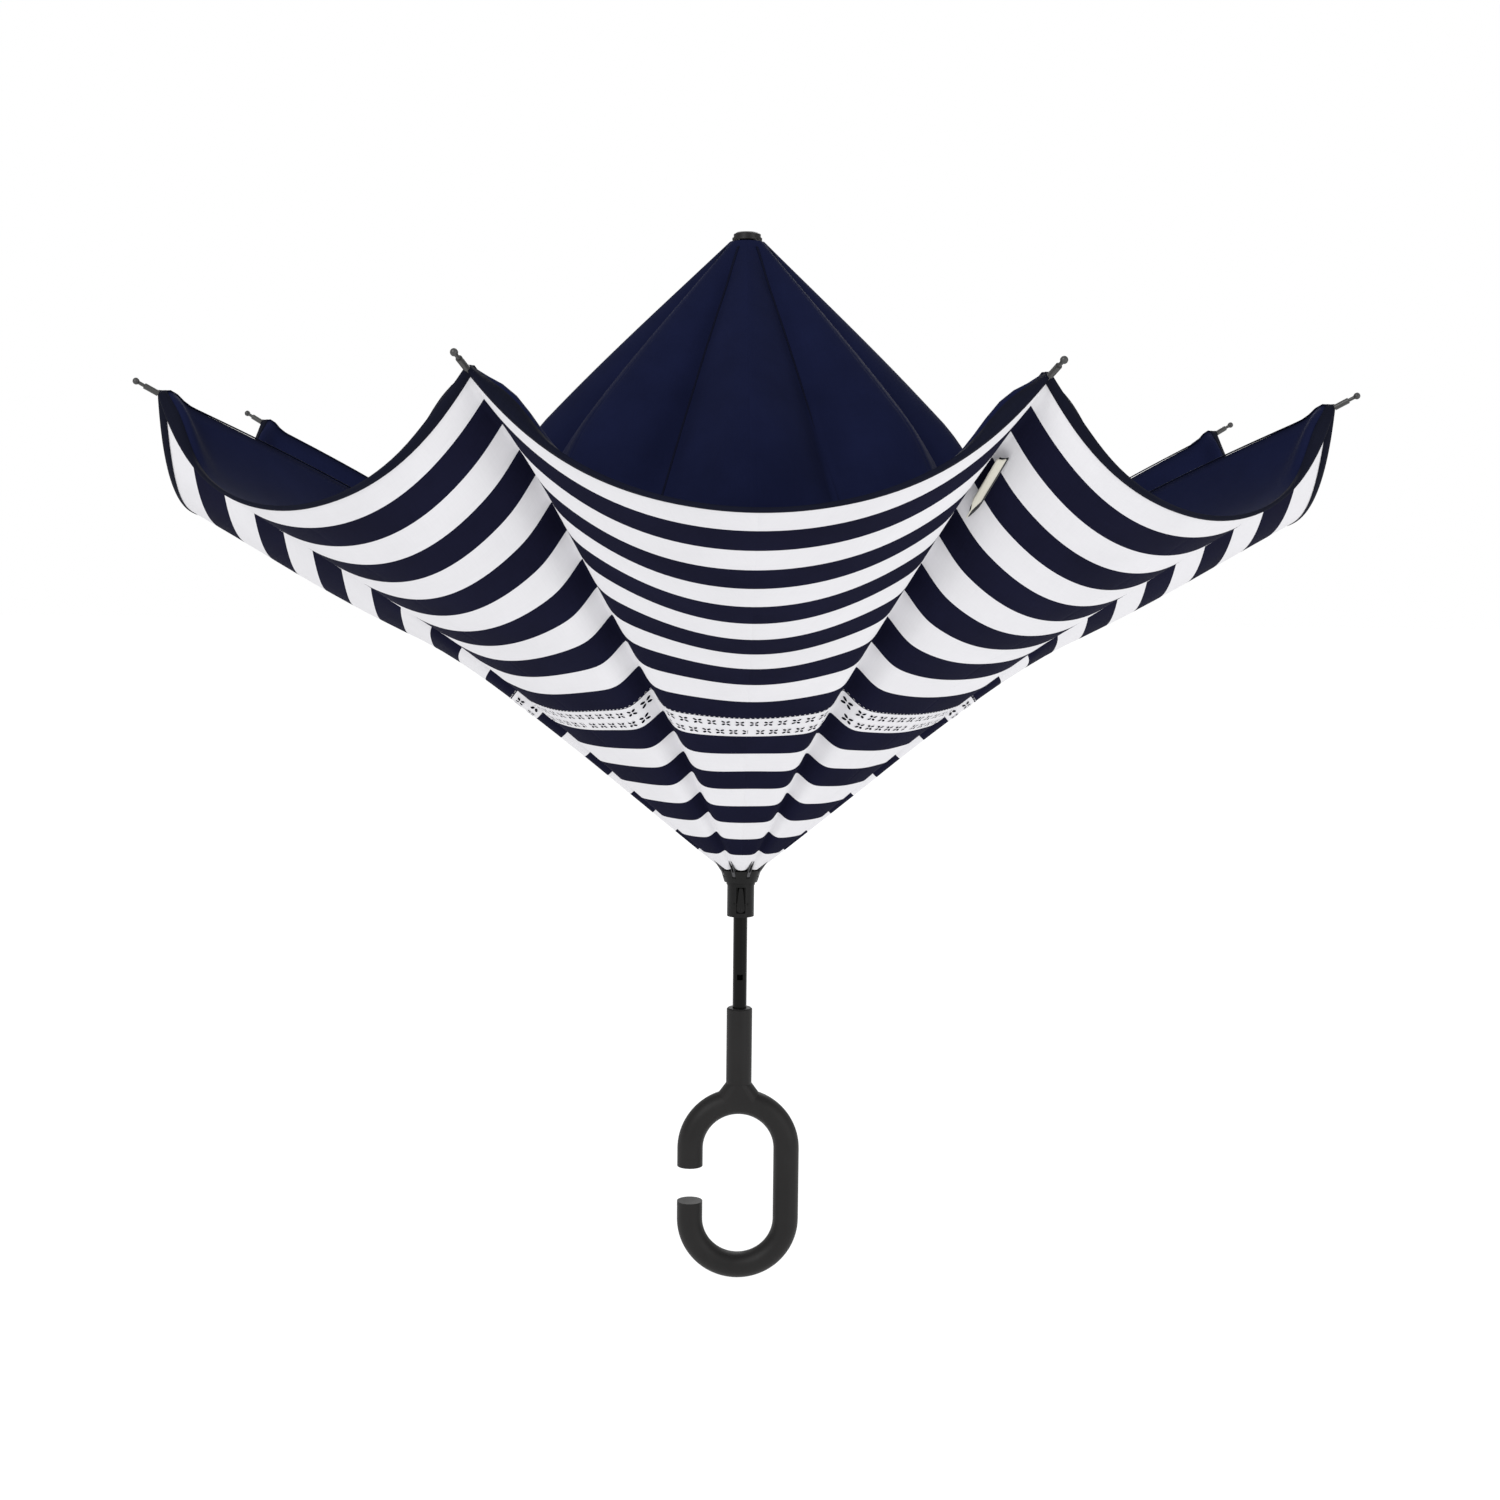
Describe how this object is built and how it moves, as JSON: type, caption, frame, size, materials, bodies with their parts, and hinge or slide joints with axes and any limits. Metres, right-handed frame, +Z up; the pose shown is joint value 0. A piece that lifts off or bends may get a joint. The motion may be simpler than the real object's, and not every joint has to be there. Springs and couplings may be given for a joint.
{
  "type": "stick umbrella",
  "caption": "Stick umbrella that folds inside out, with a double canopy, sliding runner, hinged ribs and struts, and a C-shaped handle.",
  "frame": {"origin": "middle of the straight grip, on the shaft's axis", "axes": "+Z up the shaft towards the cap, -Y towards the button's side (front), -X towards the mouth of the C-shaped loop"},
  "size_m": [0.8212, 0.8212, 0.8],
  "materials": {
    "gloss_black_metal": "gloss",
    "matt_black_plastic": "matt",
    "black_plastic": "satin",
    "spring_steel": "bright",
    "navy_cloth": "woven",
    "striped_cloth": "woven, navy and white stripes",
    "white_cloth": "woven",
    "pad_cloth": "hook-and-loop",
    "grey_metal": "satin",
    "glass_fibre": "satin"
  },
  "bodies": {
    "frame": {"shaft": "gloss_black_metal", "handle": "matt_black_plastic", "top_notch": "black_plastic", "top_cap": "black_plastic", "strut_pins": "spring_steel"},
    "liner": {"runner_liner": "black_plastic"},
    "runner": {"runner_sleeve": "black_plastic", "button_spring": "spring_steel", "rib_pins": "spring_steel"},
    "button": {"runner_button": "black_plastic"},
    "inner_rib_1": {"inner_rib_1": "grey_metal"},
    "outer_rib_1": {"outer_rib_1": "glass_fibre", "closing_strap": "white_cloth", "strap_pad": "pad_cloth"},
    "strut_1": {"strut_1": "grey_metal"},
    "outer_panel_1": {"outer_panel_1": "striped_cloth"},
    "inner_panel_1": {"inner_panel_1": "navy_cloth"},
    "strut_tie_1": {"strut_tie_1": "navy_cloth"},
    "inner_rib_2": {"inner_rib_2": "grey_metal"},
    "outer_rib_2": {"outer_rib_2": "glass_fibre"},
    "strut_2": {"strut_2": "grey_metal"},
    "outer_panel_2": {"outer_panel_2": "striped_cloth"},
    "inner_panel_2": {"inner_panel_2": "navy_cloth"},
    "strut_tie_2": {"strut_tie_2": "navy_cloth"},
    "inner_rib_3": {"inner_rib_3": "grey_metal"},
    "outer_rib_3": {"outer_rib_3": "glass_fibre"},
    "strut_3": {"strut_3": "grey_metal"},
    "outer_panel_3": {"outer_panel_3": "striped_cloth"},
    "inner_panel_3": {"inner_panel_3": "navy_cloth"},
    "strut_tie_3": {"strut_tie_3": "navy_cloth"},
    "inner_rib_4": {"inner_rib_4": "grey_metal"},
    "outer_rib_4": {"outer_rib_4": "glass_fibre"},
    "strut_4": {"strut_4": "grey_metal"},
    "outer_panel_4": {"outer_panel_4": "striped_cloth"},
    "inner_panel_4": {"inner_panel_4": "navy_cloth"},
    "strut_tie_4": {"strut_tie_4": "navy_cloth"},
    "inner_rib_5": {"inner_rib_5": "grey_metal"},
    "outer_rib_5": {"outer_rib_5": "glass_fibre"},
    "strut_5": {"strut_5": "grey_metal"},
    "outer_panel_5": {"outer_panel_5": "striped_cloth"},
    "inner_panel_5": {"inner_panel_5": "navy_cloth"},
    "strut_tie_5": {"strut_tie_5": "navy_cloth"},
    "inner_rib_6": {"inner_rib_6": "grey_metal"},
    "outer_rib_6": {"outer_rib_6": "glass_fibre"},
    "strut_6": {"strut_6": "grey_metal"},
    "outer_panel_6": {"outer_panel_6": "striped_cloth"},
    "inner_panel_6": {"inner_panel_6": "navy_cloth"},
    "strut_tie_6": {"strut_tie_6": "navy_cloth"},
    "inner_rib_7": {"inner_rib_7": "grey_metal"},
    "outer_rib_7": {"outer_rib_7": "glass_fibre"},
    "strut_7": {"strut_7": "grey_metal"},
    "outer_panel_7": {"outer_panel_7": "striped_cloth"},
    "inner_panel_7": {"inner_panel_7": "navy_cloth"},
    "strut_tie_7": {"strut_tie_7": "navy_cloth"},
    "inner_rib_8": {"inner_rib_8": "grey_metal"},
    "outer_rib_8": {"outer_rib_8": "glass_fibre"},
    "strut_8": {"strut_8": "grey_metal"},
    "outer_panel_8": {"outer_panel_8": "striped_cloth"},
    "inner_panel_8": {"inner_panel_8": "navy_cloth"},
    "strut_tie_8": {"strut_tie_8": "navy_cloth"}
  },
  "joints": [
    {"name": "runner_open", "type": "slide", "parent": "frame", "child": "liner", "axis": [0, 0, 1], "range_m": [0, 0.26514], "deforming": ["closing_strap", "strap_pad", "inner_panel_1", "inner_panel_2", "inner_panel_3", "inner_panel_4", "inner_panel_5", "inner_panel_6", "inner_panel_7", "inner_panel_8", "outer_panel_1", "outer_panel_2", "outer_panel_3", "outer_panel_4", "outer_panel_5", "outer_panel_6", "outer_panel_7", "outer_panel_8", "strut_tie_1", "strut_tie_2", "strut_tie_3", "strut_tie_4", "strut_tie_5", "strut_tie_6", "strut_tie_7", "strut_tie_8"]},
    {"name": "runner_close", "type": "slide", "parent": "liner", "child": "runner", "axis": [0, 0, -1], "range_m": [0, 0.067], "deforming": ["closing_strap", "strap_pad", "inner_panel_1", "inner_panel_2", "inner_panel_3", "inner_panel_4", "inner_panel_5", "inner_panel_6", "inner_panel_7", "inner_panel_8", "outer_panel_1", "outer_panel_2", "outer_panel_3", "outer_panel_4", "outer_panel_5", "outer_panel_6", "outer_panel_7", "outer_panel_8", "strut_tie_1", "strut_tie_2", "strut_tie_3", "strut_tie_4", "strut_tie_5", "strut_tie_6", "strut_tie_7", "strut_tie_8"]},
    {"name": "button_press", "type": "hinge", "parent": "runner", "child": "button", "pos_m": [0, -0.0087, 0.113], "axis": [1, 0, 0], "range_deg": [0, 8], "stiffness_Nm_per_rad": 0.02, "deforming": ["button_spring"]},
    {"name": "crown_open_1", "type": "hinge", "parent": "frame", "child": "inner_panel_1", "pos_m": [0.00505, -0.01219, 0.61], "axis": [-0.9239, -0.3827, 0], "range_deg": [0, 13.2]},
    {"name": "rib_open_1", "type": "hinge", "parent": "runner", "child": "outer_panel_1", "pos_m": [0.0049, -0.01183, 0.136], "axis": [-0.9239, -0.3827, 0], "range_deg": [-55.49, 0]},
    {"name": "rib_close_1", "type": "hinge", "parent": "outer_panel_1", "child": "inner_rib_1", "pos_m": [0.0049, -0.01183, 0.136], "axis": [-0.9239, -0.3827, 0], "range_deg": [0, 34.51]},
    {"name": "rib_unbend_1", "type": "hinge", "parent": "inner_rib_1", "child": "outer_rib_1", "pos_m": [0.05693, -0.13744, 0.33377], "axis": [-0.9239, -0.3827, 0], "range_deg": [0, 27.44]},
    {"name": "strut_open_1", "type": "hinge", "parent": "frame", "child": "strut_tie_1", "pos_m": [0.00329, -0.00795, 0.6], "axis": [-0.9239, -0.3827, 0], "range_deg": [0, 24.64]},
    {"name": "strut_close_1", "type": "hinge", "parent": "strut_tie_1", "child": "strut_1", "pos_m": [0.00329, -0.00795, 0.6], "axis": [-0.9239, -0.3827, 0], "range_deg": [-25.39, 0]},
    {"name": "crown_open_2", "type": "hinge", "parent": "frame", "child": "inner_panel_2", "pos_m": [0.01219, -0.00505, 0.61], "axis": [-0.3827, -0.9239, 0], "range_deg": [0, 13.2]},
    {"name": "rib_open_2", "type": "hinge", "parent": "runner", "child": "outer_panel_2", "pos_m": [0.01183, -0.0049, 0.136], "axis": [-0.3827, -0.9239, 0], "range_deg": [-55.49, 0]},
    {"name": "rib_close_2", "type": "hinge", "parent": "outer_panel_2", "child": "inner_rib_2", "pos_m": [0.01183, -0.0049, 0.136], "axis": [-0.3827, -0.9239, 0], "range_deg": [0, 34.51]},
    {"name": "rib_unbend_2", "type": "hinge", "parent": "inner_rib_2", "child": "outer_rib_2", "pos_m": [0.13744, -0.05693, 0.33377], "axis": [-0.3827, -0.9239, 0], "range_deg": [0, 27.44]},
    {"name": "strut_open_2", "type": "hinge", "parent": "frame", "child": "strut_tie_2", "pos_m": [0.00795, -0.00329, 0.6], "axis": [-0.3827, -0.9239, 0], "range_deg": [0, 24.64]},
    {"name": "strut_close_2", "type": "hinge", "parent": "strut_tie_2", "child": "strut_2", "pos_m": [0.00795, -0.00329, 0.6], "axis": [-0.3827, -0.9239, 0], "range_deg": [-25.39, 0]},
    {"name": "crown_open_3", "type": "hinge", "parent": "frame", "child": "inner_panel_3", "pos_m": [0.01219, 0.00505, 0.61], "axis": [0.3827, -0.9239, 0], "range_deg": [0, 13.2]},
    {"name": "rib_open_3", "type": "hinge", "parent": "runner", "child": "outer_panel_3", "pos_m": [0.01183, 0.0049, 0.136], "axis": [0.3827, -0.9239, 0], "range_deg": [-55.49, 0]},
    {"name": "rib_close_3", "type": "hinge", "parent": "outer_panel_3", "child": "inner_rib_3", "pos_m": [0.01183, 0.0049, 0.136], "axis": [0.3827, -0.9239, 0], "range_deg": [0, 34.51]},
    {"name": "rib_unbend_3", "type": "hinge", "parent": "inner_rib_3", "child": "outer_rib_3", "pos_m": [0.13744, 0.05693, 0.33377], "axis": [0.3827, -0.9239, 0], "range_deg": [0, 27.44]},
    {"name": "strut_open_3", "type": "hinge", "parent": "frame", "child": "strut_tie_3", "pos_m": [0.00795, 0.00329, 0.6], "axis": [0.3827, -0.9239, 0], "range_deg": [0, 24.64]},
    {"name": "strut_close_3", "type": "hinge", "parent": "strut_tie_3", "child": "strut_3", "pos_m": [0.00795, 0.00329, 0.6], "axis": [0.3827, -0.9239, 0], "range_deg": [-25.39, 0]},
    {"name": "crown_open_4", "type": "hinge", "parent": "frame", "child": "inner_panel_4", "pos_m": [0.00505, 0.01219, 0.61], "axis": [0.9239, -0.3827, 0], "range_deg": [0, 13.2]},
    {"name": "rib_open_4", "type": "hinge", "parent": "runner", "child": "outer_panel_4", "pos_m": [0.0049, 0.01183, 0.136], "axis": [0.9239, -0.3827, 0], "range_deg": [-55.49, 0]},
    {"name": "rib_close_4", "type": "hinge", "parent": "outer_panel_4", "child": "inner_rib_4", "pos_m": [0.0049, 0.01183, 0.136], "axis": [0.9239, -0.3827, 0], "range_deg": [0, 34.51]},
    {"name": "rib_unbend_4", "type": "hinge", "parent": "inner_rib_4", "child": "outer_rib_4", "pos_m": [0.05693, 0.13744, 0.33377], "axis": [0.9239, -0.3827, 0], "range_deg": [0, 27.44]},
    {"name": "strut_open_4", "type": "hinge", "parent": "frame", "child": "strut_tie_4", "pos_m": [0.00329, 0.00795, 0.6], "axis": [0.9239, -0.3827, 0], "range_deg": [0, 24.64]},
    {"name": "strut_close_4", "type": "hinge", "parent": "strut_tie_4", "child": "strut_4", "pos_m": [0.00329, 0.00795, 0.6], "axis": [0.9239, -0.3827, 0], "range_deg": [-25.39, 0]},
    {"name": "crown_open_5", "type": "hinge", "parent": "frame", "child": "inner_panel_5", "pos_m": [-0.00505, 0.01219, 0.61], "axis": [0.9239, 0.3827, 0], "range_deg": [0, 13.2]},
    {"name": "rib_open_5", "type": "hinge", "parent": "runner", "child": "outer_panel_5", "pos_m": [-0.0049, 0.01183, 0.136], "axis": [0.9239, 0.3827, 0], "range_deg": [-55.49, 0]},
    {"name": "rib_close_5", "type": "hinge", "parent": "outer_panel_5", "child": "inner_rib_5", "pos_m": [-0.0049, 0.01183, 0.136], "axis": [0.9239, 0.3827, 0], "range_deg": [0, 34.51]},
    {"name": "rib_unbend_5", "type": "hinge", "parent": "inner_rib_5", "child": "outer_rib_5", "pos_m": [-0.05693, 0.13744, 0.33377], "axis": [0.9239, 0.3827, 0], "range_deg": [0, 27.44]},
    {"name": "strut_open_5", "type": "hinge", "parent": "frame", "child": "strut_tie_5", "pos_m": [-0.00329, 0.00795, 0.6], "axis": [0.9239, 0.3827, 0], "range_deg": [0, 24.64]},
    {"name": "strut_close_5", "type": "hinge", "parent": "strut_tie_5", "child": "strut_5", "pos_m": [-0.00329, 0.00795, 0.6], "axis": [0.9239, 0.3827, 0], "range_deg": [-25.39, 0]},
    {"name": "crown_open_6", "type": "hinge", "parent": "frame", "child": "inner_panel_6", "pos_m": [-0.01219, 0.00505, 0.61], "axis": [0.3827, 0.9239, 0], "range_deg": [0, 13.2]},
    {"name": "rib_open_6", "type": "hinge", "parent": "runner", "child": "outer_panel_6", "pos_m": [-0.01183, 0.0049, 0.136], "axis": [0.3827, 0.9239, 0], "range_deg": [-55.49, 0]},
    {"name": "rib_close_6", "type": "hinge", "parent": "outer_panel_6", "child": "inner_rib_6", "pos_m": [-0.01183, 0.0049, 0.136], "axis": [0.3827, 0.9239, 0], "range_deg": [0, 34.51]},
    {"name": "rib_unbend_6", "type": "hinge", "parent": "inner_rib_6", "child": "outer_rib_6", "pos_m": [-0.13744, 0.05693, 0.33377], "axis": [0.3827, 0.9239, 0], "range_deg": [0, 27.44]},
    {"name": "strut_open_6", "type": "hinge", "parent": "frame", "child": "strut_tie_6", "pos_m": [-0.00795, 0.00329, 0.6], "axis": [0.3827, 0.9239, 0], "range_deg": [0, 24.64]},
    {"name": "strut_close_6", "type": "hinge", "parent": "strut_tie_6", "child": "strut_6", "pos_m": [-0.00795, 0.00329, 0.6], "axis": [0.3827, 0.9239, 0], "range_deg": [-25.39, 0]},
    {"name": "crown_open_7", "type": "hinge", "parent": "frame", "child": "inner_panel_7", "pos_m": [-0.01219, -0.00505, 0.61], "axis": [-0.3827, 0.9239, 0], "range_deg": [0, 13.2]},
    {"name": "rib_open_7", "type": "hinge", "parent": "runner", "child": "outer_panel_7", "pos_m": [-0.01183, -0.0049, 0.136], "axis": [-0.3827, 0.9239, 0], "range_deg": [-55.49, 0]},
    {"name": "rib_close_7", "type": "hinge", "parent": "outer_panel_7", "child": "inner_rib_7", "pos_m": [-0.01183, -0.0049, 0.136], "axis": [-0.3827, 0.9239, 0], "range_deg": [0, 34.51]},
    {"name": "rib_unbend_7", "type": "hinge", "parent": "inner_rib_7", "child": "outer_rib_7", "pos_m": [-0.13744, -0.05693, 0.33377], "axis": [-0.3827, 0.9239, 0], "range_deg": [0, 27.44]},
    {"name": "strut_open_7", "type": "hinge", "parent": "frame", "child": "strut_tie_7", "pos_m": [-0.00795, -0.00329, 0.6], "axis": [-0.3827, 0.9239, 0], "range_deg": [0, 24.64]},
    {"name": "strut_close_7", "type": "hinge", "parent": "strut_tie_7", "child": "strut_7", "pos_m": [-0.00795, -0.00329, 0.6], "axis": [-0.3827, 0.9239, 0], "range_deg": [-25.39, 0]},
    {"name": "crown_open_8", "type": "hinge", "parent": "frame", "child": "inner_panel_8", "pos_m": [-0.00505, -0.01219, 0.61], "axis": [-0.9239, 0.3827, 0], "range_deg": [0, 13.2]},
    {"name": "rib_open_8", "type": "hinge", "parent": "runner", "child": "outer_panel_8", "pos_m": [-0.0049, -0.01183, 0.136], "axis": [-0.9239, 0.3827, 0], "range_deg": [-55.49, 0]},
    {"name": "rib_close_8", "type": "hinge", "parent": "outer_panel_8", "child": "inner_rib_8", "pos_m": [-0.0049, -0.01183, 0.136], "axis": [-0.9239, 0.3827, 0], "range_deg": [0, 34.51]},
    {"name": "rib_unbend_8", "type": "hinge", "parent": "inner_rib_8", "child": "outer_rib_8", "pos_m": [-0.05693, -0.13744, 0.33377], "axis": [-0.9239, 0.3827, 0], "range_deg": [0, 27.44]},
    {"name": "strut_open_8", "type": "hinge", "parent": "frame", "child": "strut_tie_8", "pos_m": [-0.00329, -0.00795, 0.6], "axis": [-0.9239, 0.3827, 0], "range_deg": [0, 24.64]},
    {"name": "strut_close_8", "type": "hinge", "parent": "strut_tie_8", "child": "strut_8", "pos_m": [-0.00329, -0.00795, 0.6], "axis": [-0.9239, 0.3827, 0], "range_deg": [-25.39, 0]}
  ],
  "couplings": [
    {"joint": "crown_open_1", "follows": "runner_open", "rad_per_m": 0.86891},
    {"joint": "rib_open_1", "follows": "runner_open", "rad_per_m": -3.6528},
    {"joint": "rib_close_1", "follows": "runner_close", "rad_per_m": 8.9894},
    {"joint": "rib_unbend_1", "follows": "runner_close", "rad_per_m": 7.149},
    {"joint": "strut_open_1", "follows": "runner_open", "rad_per_m": 1.6219},
    {"joint": "strut_close_1", "follows": "runner_close", "rad_per_m": -6.6134},
    {"joint": "crown_open_2", "follows": "runner_open", "rad_per_m": 0.86891},
    {"joint": "rib_open_2", "follows": "runner_open", "rad_per_m": -3.6528},
    {"joint": "rib_close_2", "follows": "runner_close", "rad_per_m": 8.9894},
    {"joint": "rib_unbend_2", "follows": "runner_close", "rad_per_m": 7.149},
    {"joint": "strut_open_2", "follows": "runner_open", "rad_per_m": 1.6219},
    {"joint": "strut_close_2", "follows": "runner_close", "rad_per_m": -6.6134},
    {"joint": "crown_open_3", "follows": "runner_open", "rad_per_m": 0.86891},
    {"joint": "rib_open_3", "follows": "runner_open", "rad_per_m": -3.6528},
    {"joint": "rib_close_3", "follows": "runner_close", "rad_per_m": 8.9894},
    {"joint": "rib_unbend_3", "follows": "runner_close", "rad_per_m": 7.149},
    {"joint": "strut_open_3", "follows": "runner_open", "rad_per_m": 1.6219},
    {"joint": "strut_close_3", "follows": "runner_close", "rad_per_m": -6.6134},
    {"joint": "crown_open_4", "follows": "runner_open", "rad_per_m": 0.86891},
    {"joint": "rib_open_4", "follows": "runner_open", "rad_per_m": -3.6528},
    {"joint": "rib_close_4", "follows": "runner_close", "rad_per_m": 8.9894},
    {"joint": "rib_unbend_4", "follows": "runner_close", "rad_per_m": 7.149},
    {"joint": "strut_open_4", "follows": "runner_open", "rad_per_m": 1.6219},
    {"joint": "strut_close_4", "follows": "runner_close", "rad_per_m": -6.6134},
    {"joint": "crown_open_5", "follows": "runner_open", "rad_per_m": 0.86891},
    {"joint": "rib_open_5", "follows": "runner_open", "rad_per_m": -3.6528},
    {"joint": "rib_close_5", "follows": "runner_close", "rad_per_m": 8.9894},
    {"joint": "rib_unbend_5", "follows": "runner_close", "rad_per_m": 7.149},
    {"joint": "strut_open_5", "follows": "runner_open", "rad_per_m": 1.6219},
    {"joint": "strut_close_5", "follows": "runner_close", "rad_per_m": -6.6134},
    {"joint": "crown_open_6", "follows": "runner_open", "rad_per_m": 0.86891},
    {"joint": "rib_open_6", "follows": "runner_open", "rad_per_m": -3.6528},
    {"joint": "rib_close_6", "follows": "runner_close", "rad_per_m": 8.9894},
    {"joint": "rib_unbend_6", "follows": "runner_close", "rad_per_m": 7.149},
    {"joint": "strut_open_6", "follows": "runner_open", "rad_per_m": 1.6219},
    {"joint": "strut_close_6", "follows": "runner_close", "rad_per_m": -6.6134},
    {"joint": "crown_open_7", "follows": "runner_open", "rad_per_m": 0.86891},
    {"joint": "rib_open_7", "follows": "runner_open", "rad_per_m": -3.6528},
    {"joint": "rib_close_7", "follows": "runner_close", "rad_per_m": 8.9894},
    {"joint": "rib_unbend_7", "follows": "runner_close", "rad_per_m": 7.149},
    {"joint": "strut_open_7", "follows": "runner_open", "rad_per_m": 1.6219},
    {"joint": "strut_close_7", "follows": "runner_close", "rad_per_m": -6.6134},
    {"joint": "crown_open_8", "follows": "runner_open", "rad_per_m": 0.86891},
    {"joint": "rib_open_8", "follows": "runner_open", "rad_per_m": -3.6528},
    {"joint": "rib_close_8", "follows": "runner_close", "rad_per_m": 8.9894},
    {"joint": "rib_unbend_8", "follows": "runner_close", "rad_per_m": 7.149},
    {"joint": "strut_open_8", "follows": "runner_open", "rad_per_m": 1.6219},
    {"joint": "strut_close_8", "follows": "runner_close", "rad_per_m": -6.6134}
  ]
}
